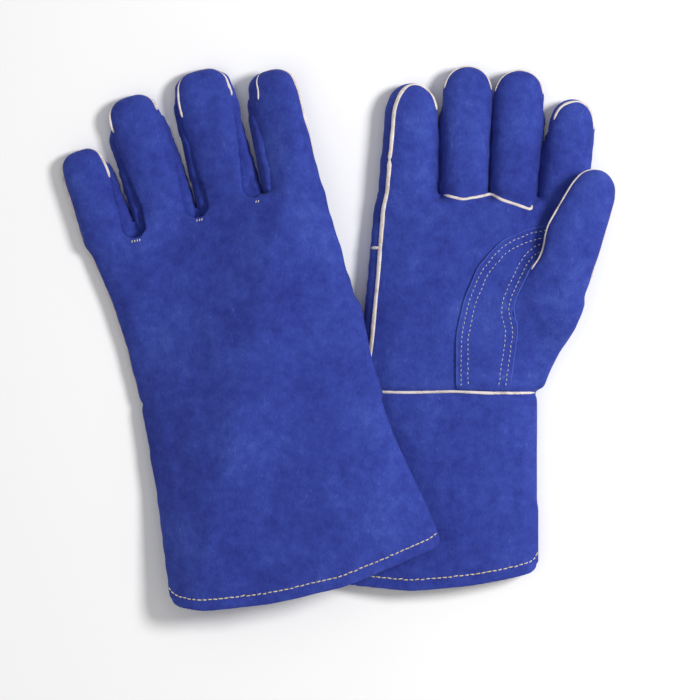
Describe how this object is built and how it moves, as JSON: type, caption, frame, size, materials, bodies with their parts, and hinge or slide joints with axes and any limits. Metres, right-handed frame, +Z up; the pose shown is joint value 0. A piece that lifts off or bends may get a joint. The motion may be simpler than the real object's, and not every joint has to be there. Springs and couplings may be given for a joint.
{
  "type": "pair of welding gloves",
  "caption": "Pair of long blue split-leather welding gauntlets with pale welted seams, laid flat, one palm up and one palm down on its cuff.",
  "frame": {"origin": "on the floor, at the middle of the bounding box of the pair as it lies", "axes": "+Y along the right glove from its cuff to its fingertips, +X towards the right glove's thumb side, +Z up from the floor the gloves lie on"},
  "size_m": [0.372, 0.367, 0.0508],
  "materials": {
    "blue_suede": "matte napped split cowhide, blotchy blue",
    "welt_leather": "matte natural piping leather",
    "cotton_lining": "napped cotton",
    "sewing_thread": "twisted heavy thread, slightly glossy"
  },
  "bodies": {
    "right_hand": {"right_back_panel": "blue_suede", "right_palm_panel": "blue_suede", "right_cuff_panel": "blue_suede", "right_thumb_base": "blue_suede", "right_ring_front": "blue_suede", "right_middle_front": "blue_suede", "right_little_ring_fork": "blue_suede", "right_ring_middle_fork": "blue_suede", "right_middle_index_fork": "blue_suede", "right_thumb_strap": "blue_suede", "right_side_welt": "welt_leather", "right_wrist_welt": "welt_leather", "right_finger_base_welt": "welt_leather", "right_lining": "cotton_lining", "right_hem_thread": "sewing_thread"},
    "right_little_tip": {"right_little_tip_back": "blue_suede", "right_little_tip_front": "blue_suede", "right_little_tip_welt": "welt_leather"},
    "right_ring_tip": {"right_ring_tip_back": "blue_suede", "right_ring_tip_front": "blue_suede", "right_ring_tip_welt": "welt_leather"},
    "right_middle_tip": {"right_middle_tip_back": "blue_suede", "right_middle_tip_front": "blue_suede", "right_middle_tip_welt": "welt_leather"},
    "right_index_tip": {"right_index_tip_back": "blue_suede", "right_index_tip_front": "blue_suede", "right_index_tip_welt": "welt_leather"},
    "right_thumb_tip": {"right_thumb_tip_back": "blue_suede", "right_thumb_tip_front": "blue_suede", "right_thumb_tip_welt": "welt_leather"},
    "left_hand": {"left_back_panel": "blue_suede", "left_palm_panel": "blue_suede", "left_cuff_panel": "blue_suede", "left_thumb_base": "blue_suede", "left_ring_front": "blue_suede", "left_middle_front": "blue_suede", "left_little_ring_fork": "blue_suede", "left_ring_middle_fork": "blue_suede", "left_middle_index_fork": "blue_suede", "left_thumb_strap": "blue_suede", "left_side_welt": "welt_leather", "left_wrist_welt": "welt_leather", "left_finger_base_welt": "welt_leather", "left_lining": "cotton_lining", "left_hem_thread": "sewing_thread"},
    "left_little_tip": {"left_little_tip_back": "blue_suede", "left_little_tip_front": "blue_suede", "left_little_tip_welt": "welt_leather"},
    "left_ring_tip": {"left_ring_tip_back": "blue_suede", "left_ring_tip_front": "blue_suede", "left_ring_tip_welt": "welt_leather"},
    "left_middle_tip": {"left_middle_tip_back": "blue_suede", "left_middle_tip_front": "blue_suede", "left_middle_tip_welt": "welt_leather"},
    "left_index_tip": {"left_index_tip_back": "blue_suede", "left_index_tip_front": "blue_suede", "left_index_tip_welt": "welt_leather"},
    "left_thumb_tip": {"left_thumb_tip_back": "blue_suede", "left_thumb_tip_front": "blue_suede", "left_thumb_tip_welt": "welt_leather"}
  },
  "joints": [
    {"name": "left_glove_lift", "type": "slide", "parent": "right_hand", "child": "left_hand", "axis": [0, 0, 1], "range_m": [0, 0.12]},
    {"name": "right_little_bend", "type": "hinge", "parent": "right_hand", "child": "right_little_tip", "pos_m": [0.04814, 0.13213, 0.0092], "axis": [0.9985, -0.0549, 0], "range_deg": [0, 70], "stiffness_Nm_per_rad": 0.25},
    {"name": "right_ring_bend", "type": "hinge", "parent": "right_hand", "child": "right_ring_tip", "pos_m": [0.0861, 0.13913, 0.0092], "axis": [0.9996, -0.0273, 0], "range_deg": [0, 70], "stiffness_Nm_per_rad": 0.25},
    {"name": "right_middle_bend", "type": "hinge", "parent": "right_hand", "child": "right_middle_tip", "pos_m": [0.11989, 0.13813, 0.0092], "axis": [0.9984, -0.0569, 0], "range_deg": [0, 70], "stiffness_Nm_per_rad": 0.25},
    {"name": "right_index_bend", "type": "hinge", "parent": "right_hand", "child": "right_index_tip", "pos_m": [0.15503, 0.12213, 0.0092], "axis": [0.9951, -0.0984, 0], "range_deg": [0, 70], "stiffness_Nm_per_rad": 0.25},
    {"name": "right_thumb_bend", "type": "hinge", "parent": "right_hand", "child": "right_thumb_tip", "pos_m": [0.15128, 0.05313, 0.0337], "axis": [0.9183, -0.3958, 0], "range_deg": [0, 55], "stiffness_Nm_per_rad": 0.25},
    {"name": "left_little_bend", "type": "hinge", "parent": "left_hand", "child": "left_little_tip", "pos_m": [-0.16537, 0.09724, 0.00626], "axis": [-0.9408, -0.339, 0], "range_deg": [0, 70], "stiffness_Nm_per_rad": 0.25},
    {"name": "left_ring_bend", "type": "hinge", "parent": "left_hand", "child": "left_ring_tip", "pos_m": [-0.12951, 0.12291, 0.00626], "axis": [-0.9549, -0.2969, 0], "range_deg": [0, 70], "stiffness_Nm_per_rad": 0.25},
    {"name": "left_middle_bend", "type": "hinge", "parent": "left_hand", "child": "left_middle_tip", "pos_m": [-0.08409, 0.13725, 0.00784], "axis": [-0.9725, -0.2329, 0], "range_deg": [0, 70], "stiffness_Nm_per_rad": 0.25},
    {"name": "left_index_bend", "type": "hinge", "parent": "left_hand", "child": "left_index_tip", "pos_m": [-0.03962, 0.14425, 0.02017], "axis": [-0.9741, -0.2259, 0], "range_deg": [0, 70], "stiffness_Nm_per_rad": 0.25},
    {"name": "left_thumb_bend", "type": "hinge", "parent": "left_hand", "child": "left_thumb_tip", "pos_m": [-0.00963, 0.03708, 0.00915], "axis": [-0.8952, -0.4456, 0], "range_deg": [0, 55], "stiffness_Nm_per_rad": 0.25}
  ]
}
